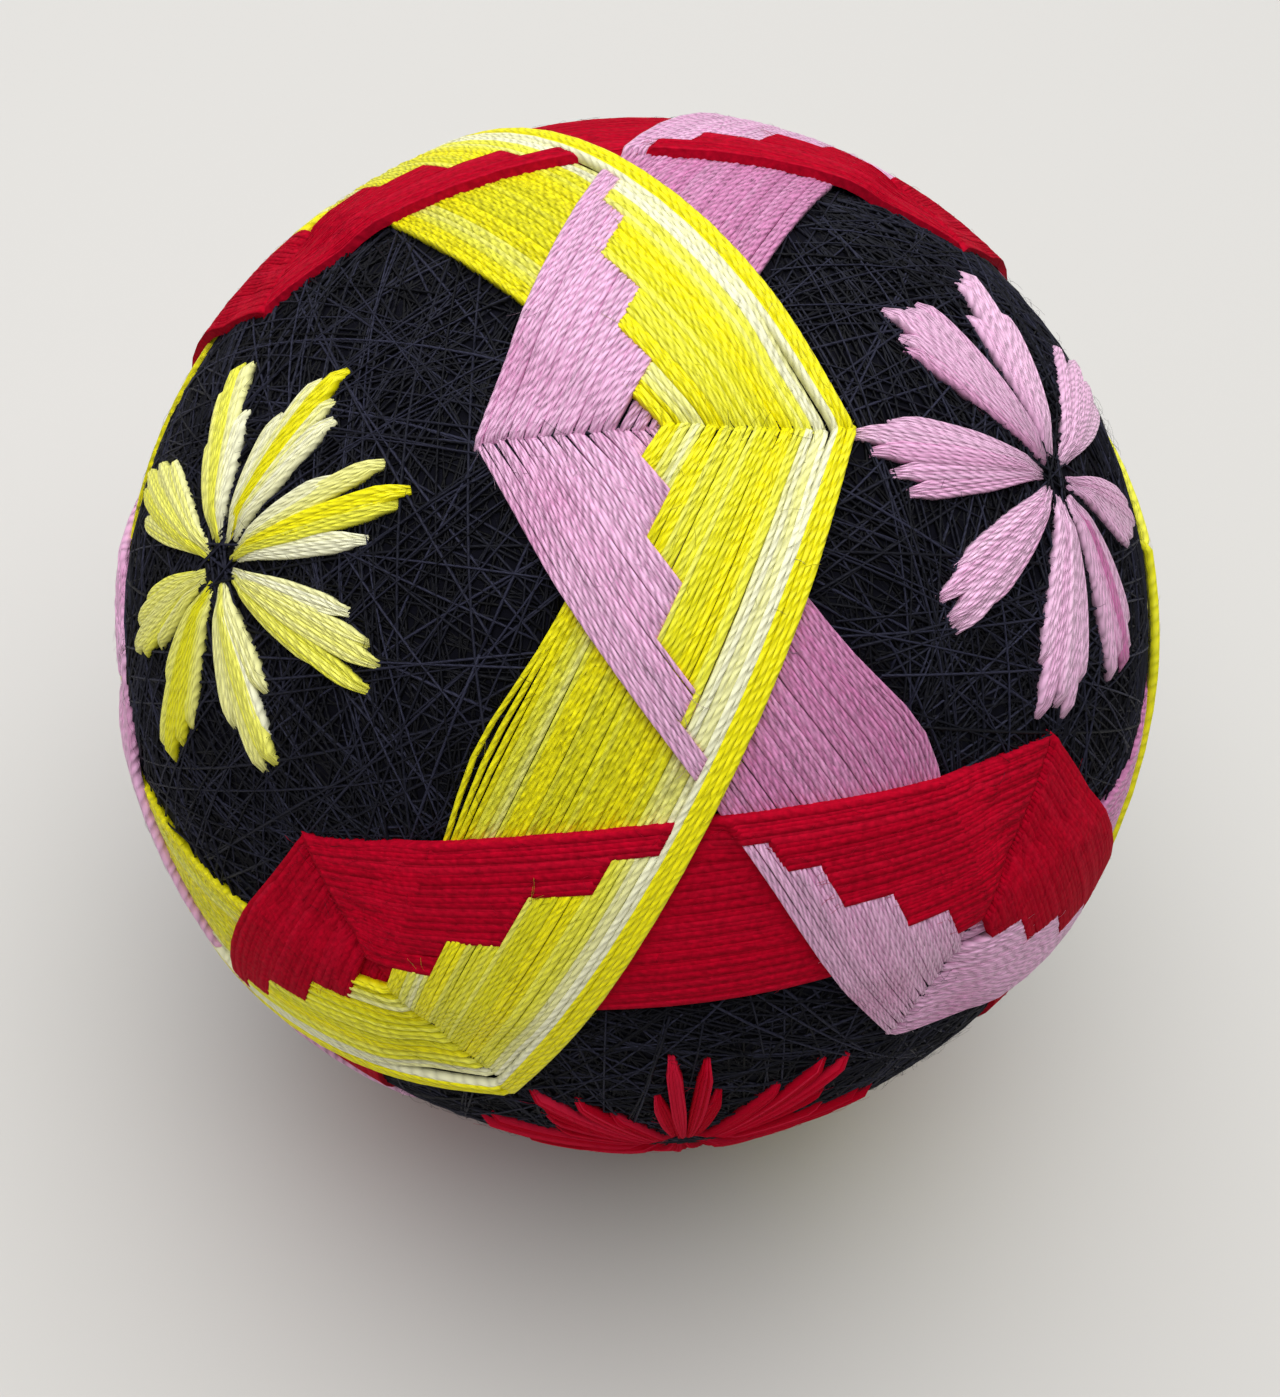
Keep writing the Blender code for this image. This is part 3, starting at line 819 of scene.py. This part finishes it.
def ply_twist_group():
    """Twisted plies and fine fibres of a thread, from its map in mm along and turns around."""
    tree, start, end = group_tree(
        "ply twist",
        (("Thread", "NodeSocketVector", None), ("Tone", "NodeSocketFloat", 0.0),
         ("Twist mm", "NodeSocketFloat", 1.6), ("Plies", "NodeSocketFloat", 3.0),
         ("Fibre", "NodeSocketFloat", 0.5), ("Crisp", "NodeSocketFloat", 1.0)),
        (("Height", "NodeSocketFloat"), ("Groove", "NodeSocketFloat")),
    )
    link = tree.links.new
    split = tree.nodes.new("ShaderNodeSeparateXYZ")
    link(start["Thread"], split.inputs[0])
    along, around = split.outputs[0], split.outputs[1]
    turns = math_node(tree, "DIVIDE", along, start["Twist mm"])
    turns = math_node(tree, "ADD", turns, math_node(tree, "MULTIPLY", around, start["Plies"]))
    turns = math_node(tree, "ADD", turns, math_node(tree, "MULTIPLY", start["Tone"], TWIST_APART))
    drift = noise_along(tree, along, start["Tone"], 0.45, 5.3)
    turns = math_node(tree, "MULTIPLY_ADD", drift, 1.6, turns)
    wave = math_node(tree, "SINE", math_node(tree, "MULTIPLY", turns, 2 * math.pi))
    wave = math_node(tree, "MULTIPLY_ADD", wave, 0.5, 0.5)
    wave = math_node(tree, "POWER", wave, 0.6)
    fade = noise_along(tree, along, start["Tone"], 0.6, 17.9)
    fade = math_node(tree, "MULTIPLY", math_node(tree, "MULTIPLY_ADD", fade, 1.2, 0.15), start["Crisp"])
    join = tree.nodes.new("ShaderNodeCombineXYZ")
    slanted = math_node(tree, "ADD", math_node(tree, "MULTIPLY", along, 0.9),
                        math_node(tree, "MULTIPLY", around, 2.0))
    link(slanted, join.inputs[0])
    link(math_node(tree, "MULTIPLY", around, 12.0), join.inputs[1])
    link(math_node(tree, "MULTIPLY", start["Tone"], FIBRES_APART), join.inputs[2])
    fibres = tree.nodes.new("ShaderNodeTexNoise")
    fibres.inputs["Scale"].default_value = 1.0
    fibres.inputs["Detail"].default_value = 3.0
    link(join.outputs[0], fibres.inputs["Vector"])
    fine = math_node(tree, "MULTIPLY", fibres.outputs["Fac"], start["Fibre"])
    link(math_node(tree, "MULTIPLY_ADD", wave, fade, fine), end["Height"])
    # Where the plies' grooves lie, for the painted shade that the thread tone puts there
    groove_shade = math_node(tree, "MULTIPLY", math_node(tree, "SUBTRACT", 1.0, wave), fade)
    link(math_node(tree, "MULTIPLY_ADD", fibres.outputs["Fac"], 0.5, groove_shade), end["Groove"])
    return tree


def thread_tone_group():
    """Small differences of lightness between strands, and painted shade in the grooves between the plies."""
    tree, start, end = group_tree(
        "thread tone",
        (("Color", "NodeSocketColor", None), ("Tone", "NodeSocketFloat", 0.0),
         ("Groove", "NodeSocketFloat", 0.0), ("Spread", "NodeSocketFloat", 0.05),
         ("Groove shade", "NodeSocketFloat", 0.3), ("Mottle", "NodeSocketFloat", 1.0)),
        (("Color", "NodeSocketColor"),),
    )
    bright = math_node(tree, "MULTIPLY_ADD", start["Tone"], start["Spread"], 1.0)
    # Painted shade: the colour is darker in the grooves between the plies and along the fibre noise
    shaded = math_node(tree, "MULTIPLY", start["Groove"], start["Groove shade"])
    bright = math_node(tree, "MULTIPLY", bright, math_node(tree, "SUBTRACT", 1.0, shaded))
    bright = math_node(tree, "MULTIPLY", bright, start["Mottle"])
    change = tree.nodes.new("ShaderNodeHueSaturation")
    tree.links.new(start["Color"], change.inputs["Color"])
    tree.links.new(bright, change.inputs["Value"])
    tree.links.new(change.outputs["Color"], end["Color"])
    return tree


def felted_floss_group():
    """Where the felt mask lies: a twist a little less crisp, and a mottled, on the whole darker lightness."""
    tree, start, end = group_tree(
        "felted floss",
        (("Place", "NodeSocketVector", None), ("Felt", "NodeSocketFloat", 0.0),
         ("Mottle depth", "NodeSocketFloat", 0.5)),
        (("Crisp", "NodeSocketFloat"), ("Mottle", "NodeSocketFloat")),
    )
    noise = tree.nodes.new("ShaderNodeTexNoise")
    noise.inputs["Scale"].default_value = 2300.0
    noise.inputs["Detail"].default_value = 2.0
    tree.links.new(start["Place"], noise.inputs["Vector"])
    swing = math_node(tree, "MULTIPLY", math_node(tree, "SUBTRACT", noise.outputs["Fac"], 0.66),
                      start["Mottle depth"])
    tree.links.new(math_node(tree, "MULTIPLY_ADD", swing, start["Felt"], 1.0), end["Mottle"])
    tree.links.new(math_node(tree, "MULTIPLY_ADD", start["Felt"], -0.1, 1.0), end["Crisp"])
    return tree


class Finish:
    """A thread material in the making: the shader and the nodes that feed it."""

    def __init__(self, name, twist, tone, felted, values):
        self.material = bpy.data.materials.new(name)
        self.material.use_nodes = True
        self.tree = self.material.node_tree
        link = self.tree.links.new
        self.shader = self.tree.nodes["Principled BSDF"]
        self.shader.inputs["Roughness"].default_value = values["roughness"]
        self.shader.inputs["Sheen Weight"].default_value = values["sheen"]
        self.shader.inputs["Sheen Roughness"].default_value = 0.4
        self.shader.inputs["Specular IOR Level"].default_value = values["gloss"]
        thread_map = self.tree.nodes.new("ShaderNodeUVMap")
        thread_map.uv_map = "thread"
        strand = self.attribute("tone")
        self.twist = self.group(twist)
        link(thread_map.outputs[0], self.twist.inputs["Thread"])
        link(strand, self.twist.inputs["Tone"])
        self.twist.inputs["Twist mm"].default_value = values["twist"]
        self.twist.inputs["Fibre"].default_value = values["fibre"]
        self.tone = self.group(tone)
        link(strand, self.tone.inputs["Tone"])
        link(self.twist.outputs["Groove"], self.tone.inputs["Groove"])
        self.tone.inputs["Spread"].default_value = values["spread"]
        self.tone.inputs["Groove shade"].default_value = values["groove_shade"]
        link(self.tone.outputs["Color"], self.shader.inputs["Base Color"])
        place = self.tree.nodes.new("ShaderNodeTexCoord")
        felt = self.group(felted)
        link(place.outputs["Object"], felt.inputs["Place"])
        link(self.attribute("felt"), felt.inputs["Felt"])
        felt.inputs["Mottle depth"].default_value = values["mottle"]
        link(felt.outputs["Crisp"], self.twist.inputs["Crisp"])
        link(felt.outputs["Mottle"], self.tone.inputs["Mottle"])
        bump = self.tree.nodes.new("ShaderNodeBump")
        bump.inputs["Distance"].default_value = values["relief"] * MM
        link(self.twist.outputs["Height"], bump.inputs["Height"])
        link(bump.outputs["Normal"], self.shader.inputs["Normal"])

    def group(self, tree):
        node = self.tree.nodes.new("ShaderNodeGroup")
        node.node_tree = tree
        return node

    def attribute(self, name):
        node = self.tree.nodes.new("ShaderNodeAttribute")
        node.attribute_name = name
        return node.outputs["Fac"]

    def ramp(self, stops):
        """The floss's colour along its shades."""
        node = self.tree.nodes.new("ShaderNodeValToRGB")
        elements = node.color_ramp.elements
        while len(elements) < len(stops):
            elements.new(0.5)
        for element, (place, colour) in zip(elements, stops):
            element.position = place
            element.color = (*colour, 1)
        self.tree.links.new(self.attribute("shade"), node.inputs["Fac"])
        self.tree.links.new(node.outputs["Color"], self.tone.inputs["Color"])
        return self.material


# Each thread's finish: its twist and relief in mm, and the other values as their sockets take them; the
# groove value sets the painted shade in the grooves between its plies
FLOSS = {
    "pink": {"roughness": 0.42, "sheen": 0.1, "gloss": 0.5, "twist": 1.1, "fibre": 0.6, "spread": 0.05,
             "groove_shade": 0.4, "relief": 0.085, "mottle": 0.8},
    "yellow": {"roughness": 0.48, "sheen": 0.02, "gloss": 0.25, "twist": 1.15, "fibre": 0.6, "spread": 0.04,
               "groove_shade": 0.28, "relief": 0.065, "mottle": 1.0},
    "red": {"roughness": 0.85, "sheen": 0.0, "gloss": 0.03, "twist": 1.2, "fibre": 0.35, "spread": 0.03,
            "groove_shade": 0.08, "relief": 0.03, "mottle": 0.9},
    "winding": {"roughness": 0.6, "sheen": 0.0, "gloss": 0.14, "twist": 0.7, "fibre": 1.2, "spread": 0.2,
                "groove_shade": 0.4, "relief": 0.02, "mottle": 0.0},
}
# Each thread's colours, by their places on its ramp
SHADES = {
    "pink": ((0.0, (0.72, 0.20, 0.48)), (0.5, (0.88, 0.48, 0.74)), (1.0, (0.94, 0.64, 0.83))),
    "yellow": ((0.0, (0.95, 0.87, 0.0)), (0.42, (0.86, 0.82, 0.006)), (0.62, (0.90, 0.88, 0.07)),
               (0.78, (0.89, 0.87, 0.26)), (1.0, (0.92, 0.91, 0.64))),
    "red": ((0.0, (0.40, 0.001, 0.012)), (0.5, (0.45, 0.001, 0.017)), (1.0, (0.6, 0.014, 0.048))),
    "winding": ((0.0, (0.0014, 0.0014, 0.0028)), (0.5, (0.006, 0.0065, 0.013)), (1.0, (0.025, 0.026, 0.05))),
}


def thread_finishes():
    """The four thread materials by name, which share their node groups."""
    groups = ply_twist_group(), thread_tone_group(), felted_floss_group()
    finishes = {}
    for name, values in FLOSS.items():
        finishes[name] = Finish(f"{name} thread", *groups, values).ramp(SHADES[name])
    return finishes


# The deep winding's relief, per metre: across its turns and along them
RELIEF_ACROSS = 900
RELIEF_ALONG = 90
RELIEF_MM = 0.25


def winding_bed():
    """The deep turns of the dark thread: a plain ball, a fine crossing relief and painted shade in its
    hollows.
    """
    material = bpy.data.materials.new("deep winding")
    material.use_nodes = True
    tree = material.node_tree
    link = tree.links.new
    shader = tree.nodes["Principled BSDF"]
    shader.inputs["Roughness"].default_value = 0.8
    shader.inputs["Specular IOR Level"].default_value = 0.05
    place = tree.nodes.new("ShaderNodeTexCoord")
    heights = []
    for across in range(3):
        scale = [RELIEF_ACROSS if axis == across else RELIEF_ALONG for axis in range(3)]
        stretch = tree.nodes.new("ShaderNodeMapping")
        stretch.inputs["Scale"].default_value = scale
        stretch.inputs["Rotation"].default_value = [0.6 * value / RELIEF_ACROSS + 0.4 for value in scale]
        link(place.outputs["Object"], stretch.inputs["Vector"])
        noise = tree.nodes.new("ShaderNodeTexNoise")
        noise.inputs["Scale"].default_value = 1.0
        noise.inputs["Detail"].default_value = 2.0
        link(stretch.outputs[0], noise.inputs["Vector"])
        heights.append(noise.outputs["Fac"])
    height = math_node(tree, "MAXIMUM", math_node(tree, "MAXIMUM", heights[0], heights[1]), heights[2])
    bump = tree.nodes.new("ShaderNodeBump")
    bump.inputs["Distance"].default_value = RELIEF_MM * MM
    link(height, bump.inputs["Height"])
    link(bump.outputs["Normal"], shader.inputs["Normal"])
    # Painted shade: the relief's hollows are darker than its ridges
    ramp = tree.nodes.new("ShaderNodeValToRGB")
    ramp.color_ramp.elements[0].position = 0.35
    ramp.color_ramp.elements[0].color = (0.002, 0.002, 0.004, 1)
    ramp.color_ramp.elements[1].position = 0.75
    ramp.color_ramp.elements[1].color = (0.004, 0.004, 0.008, 1)
    link(height, ramp.inputs["Fac"])
    link(ramp.outputs["Color"], shader.inputs["Base Color"])
    bpy.ops.mesh.primitive_uv_sphere_add(segments=96, ring_count=64, radius=(BALL_RADIUS + DEEPEST_TURN) * MM,
                                         location=Vector(BALL_CENTRE * MM))
    bed = bpy.context.object
    bed.name = "winding_bed"
    bed.data.shade_smooth()
    bed.data.materials.append(material)
    return bed


def dress():
    """Every piece of the ball, each on its own seeded random draws."""
    finishes = thread_finishes()
    bed = winding_bed()
    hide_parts("wound_ball")
    placed = [(bed, "winding")]
    for index, skein in enumerate(wound_threads(np.random.default_rng(11)), 1):
        placed.append((skein.piece(f"winding_turns_{index}", finishes["winding"]), "winding"))
    fuzz = stray_fibres(np.random.default_rng(12)).piece("winding_fuzz", finishes["winding"])
    placed.append((fuzz, "winding"))
    for seed, (thread, place, axis, side) in enumerate(FACES, 20):
        rng = np.random.default_rng(seed)
        for number in range(1, len(STRANDS_IN_ROUND) + 1):
            skein = square_round(thread, place, axis, side, number, rng)
            piece = skein.piece(f"{thread}_{place}_rows_{number}", finishes[thread], melted=thread == "red")
            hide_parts(f"{thread}_square_{place}_round_{number}")
            placed.append((piece, f"{thread}_thread"))
        flower = stitched_flower(thread, place, axis, side, rng)
        piece = flower.piece(f"{thread}_{place}_petals", finishes[thread])
        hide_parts(f"{thread}_flower_{place}")
        placed.append((piece, f"{thread}_thread"))
    for piece, slot in placed:
        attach(piece, "root")


def table_top():
    """The pale table that the ball rests on."""
    bpy.ops.mesh.primitive_plane_add(size=3)
    floor = bpy.context.object
    floor.name = "table_top"
    material = bpy.data.materials.new("pale table")
    material.use_nodes = True
    shader = material.node_tree.nodes["Principled BSDF"]
    shader.inputs["Base Color"].default_value = (0.54, 0.53, 0.512, 1)
    shader.inputs["Roughness"].default_value = 0.55
    floor.data.materials.append(material)


def area_light(name, size, power, place, colour):
    """A square lamp that faces the ball's centre."""
    data = bpy.data.lights.new(name, "AREA")
    data.size = size
    data.energy = power
    data.color = colour
    light = bpy.data.objects.new(name, data)
    light.location = place
    aim = Vector(BALL_CENTRE * MM) - light.location
    light.rotation_euler = aim.to_track_quat("-Z", "Y").to_euler()
    bpy.context.scene.collection.objects.link(light)


def studio():
    """A soft room: a bright ceiling, a weak lamp at the front left and an even sky."""
    world = bpy.data.worlds.new("soft room")
    world.use_nodes = True
    sky = world.node_tree.nodes["Background"]
    sky.inputs["Color"].default_value = (1.0, 0.96, 0.9, 1)
    sky.inputs["Strength"].default_value = 0.28
    bpy.context.scene.world = world
    area_light("ceiling light", size=1.35, power=15.6, place=(-0.03, 0.17, 0.88), colour=(0.98, 0.99, 1.0))
    area_light("room fill", size=0.8, power=0.7, place=(-0.42, -0.6, 0.42), colour=(1.0, 0.97, 0.92))
    bpy.context.scene.view_settings.view_transform = "Standard"


# The camera's place, found from the photo's ruler marks and the ball's outline
CAMERA_PITCH_DEG = 52.746
CAMERA_ROLL_DEG = -7.469
CAMERA_YAW_DEG = 0.331
CAMERA_TILT_DEG = 1.679
CAMERA_DISTANCE = 179.95
CAMERA_LENS = 52.96
SENSOR_WIDTH = 36


def camera():
    """The camera that took the photo, as fitted."""
    pitch = math.radians(CAMERA_PITCH_DEG)
    back = Vector((0, -math.cos(pitch), math.sin(pitch)))
    right = Vector((1, 0, 0))
    up = back.cross(right)
    level = Matrix((right, up, back)).transposed()
    turn = (Matrix.Rotation(math.radians(CAMERA_ROLL_DEG), 3, "Z")
            @ Matrix.Rotation(math.radians(CAMERA_YAW_DEG), 3, "Y")
            @ Matrix.Rotation(math.radians(CAMERA_TILT_DEG), 3, "X"))
    data = bpy.data.cameras.new("camera")
    data.lens = CAMERA_LENS
    data.sensor_width = SENSOR_WIDTH
    data.clip_start = 0.005
    eye = bpy.data.objects.new("camera", data)
    place = Vector(BALL_CENTRE * MM) + back * CAMERA_DISTANCE * MM
    eye.matrix_world = Matrix.Translation(place) @ (level @ turn.transposed()).to_4x4()
    bpy.context.scene.collection.objects.link(eye)
    bpy.context.scene.camera = eye


camera()
dress()
table_top()
studio()
